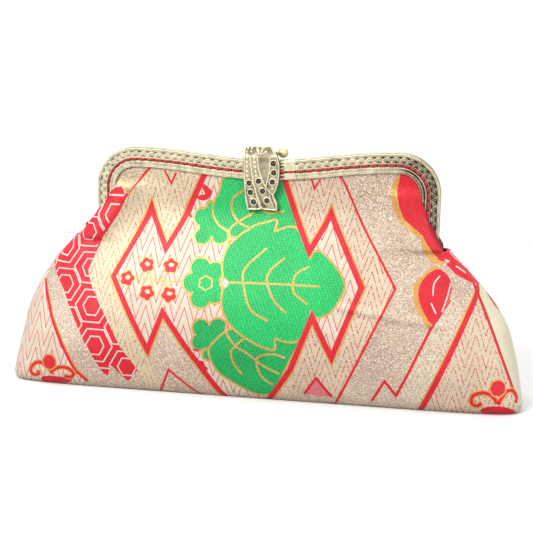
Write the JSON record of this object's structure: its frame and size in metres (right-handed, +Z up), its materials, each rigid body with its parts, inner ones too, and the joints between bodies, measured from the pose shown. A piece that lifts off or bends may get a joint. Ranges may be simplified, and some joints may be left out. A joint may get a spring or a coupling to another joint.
{
  "type": "clutch bag",
  "caption": "Soft brocade clutch bag on a hinged engraved metal snap frame, with a ribbon-shaped jewelled clasp plate and a ball knob.",
  "frame": {"origin": "on the floor under the middle of the bag's base", "axes": "+X along the frame, the front with the clasp plate faces -Y, +Z up"},
  "size_m": [0.301, 0.063, 0.145],
  "materials": {
    "frame_metal": "antique, embossed",
    "stone": "faceted, dark",
    "thread": "waxed",
    "brocade": "woven with metallic yarn",
    "lining": "satin"
  },
  "bodies": {
    "pouch": {"brocade_pouch": "brocade", "lining_pouch": "lining"},
    "front_half": {"front_frame": "frame_metal", "rivet_left": "frame_metal", "rivet_right": "frame_metal", "clasp_plate": "frame_metal", "stone_right_1": "stone", "stone_right_2": "stone", "stone_right_3": "stone", "stone_middle_1": "stone", "stone_middle_2": "stone", "stone_middle_3": "stone", "stone_left_1": "stone", "stone_left_2": "stone", "stone_left_3": "stone", "front_stitching_left": "thread", "front_stitching_right": "thread", "brocade_front_top": "brocade", "lining_front_top": "lining"},
    "back_half": {"back_frame": "frame_metal", "ball_knob": "frame_metal", "back_stitching": "thread", "brocade_back_top": "brocade", "lining_back_top": "lining"}
  },
  "joints": [
    {"name": "front_hinge", "type": "hinge", "parent": "pouch", "child": "front_half", "pos_m": [0, 0, 0.09], "axis": [1, 0, 0], "range_deg": [0, 45]},
    {"name": "back_hinge", "type": "hinge", "parent": "pouch", "child": "back_half", "pos_m": [0, 0, 0.09], "axis": [1, 0, 0], "range_deg": [-45, 0]}
  ],
  "couplings": [
    {"joint": "back_hinge", "follows": "front_hinge", "ratio": -1}
  ]
}
